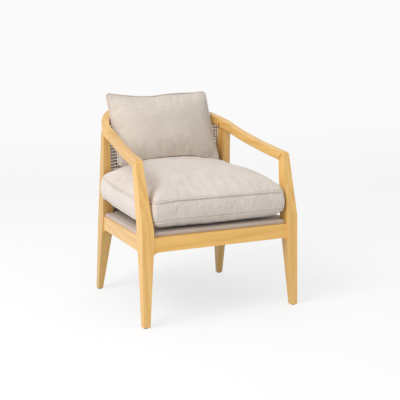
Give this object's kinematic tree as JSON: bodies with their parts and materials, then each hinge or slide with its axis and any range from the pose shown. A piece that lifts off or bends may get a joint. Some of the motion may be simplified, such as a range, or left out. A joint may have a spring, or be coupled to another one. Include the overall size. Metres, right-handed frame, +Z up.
{
  "type": "occasional chair",
  "caption": "Occasional chair with a bent oak frame, sweeping arms joined to a curved back rail, a cane barrel back and loose seat and back cushions.",
  "frame": {"origin": "on the floor, under the middle of the chair's box", "axes": "+X to the right seen from the front, +Y to the back of the chair, +Z up"},
  "size_m": [0.624, 0.704, 0.7908],
  "materials": {
    "oak": "light golden oak, satin lacquer",
    "beech": "plain beech, unfinished",
    "plywood": "plain plywood",
    "cane": "natural cane webbing",
    "cane_spline": "natural reed",
    "linen": "plain weave, linen look, pale greige",
    "linen_piping": "self-covered cord",
    "foam": "upholstery foam in a thin wrap",
    "fibre_fill": "white fibre fill in a plain inner bag",
    "black_cloth": "black non-woven cloth",
    "zip_nylon": "coil zip on tape",
    "glide_plastic": "moulded glide",
    "zinc_steel": "zinc plated"
  },
  "bodies": {
    "frame": {"front_leg_left": "oak", "front_leg_right": "oak", "rear_leg_left": "oak", "rear_leg_right": "oak", "arm_left": "oak", "arm_right": "oak", "back_rail": "oak", "arm_dowels": "beech", "seat_rail_front": "oak", "seat_rail_left": "oak", "seat_rail_right": "oak", "seat_rail_back": "oak", "corner_blocks": "beech", "corner_bolts": "zinc_steel", "cane_stile_left": "oak", "cane_stile_right": "oak", "cane_webbing": "cane", "cane_splines": "cane_spline", "deck_board": "plywood", "deck_pad": "foam", "deck_cover": "linen", "deck_screws": "zinc_steel", "dust_cover": "black_cloth", "foot_glides": "glide_plastic"},
    "seat_cushion": {"seat_cushion_cover": "linen", "seat_cushion_core": "foam", "seat_cushion_piping": "linen_piping", "seat_cushion_zip": "zip_nylon"},
    "back_cushion": {"back_cushion_cover": "linen", "back_cushion_core": "fibre_fill", "back_cushion_piping": "linen_piping"}
  },
  "joints": [
    {"name": "seat_cushion_lift", "type": "slide", "parent": "frame", "child": "seat_cushion", "axis": [0, 0, 1], "range_m": [0, 0.066]},
    {"name": "back_cushion_lift", "type": "slide", "parent": "seat_cushion", "child": "back_cushion", "axis": [0, 0.3338, 0.9426], "range_m": [0, 0.3]}
  ]
}
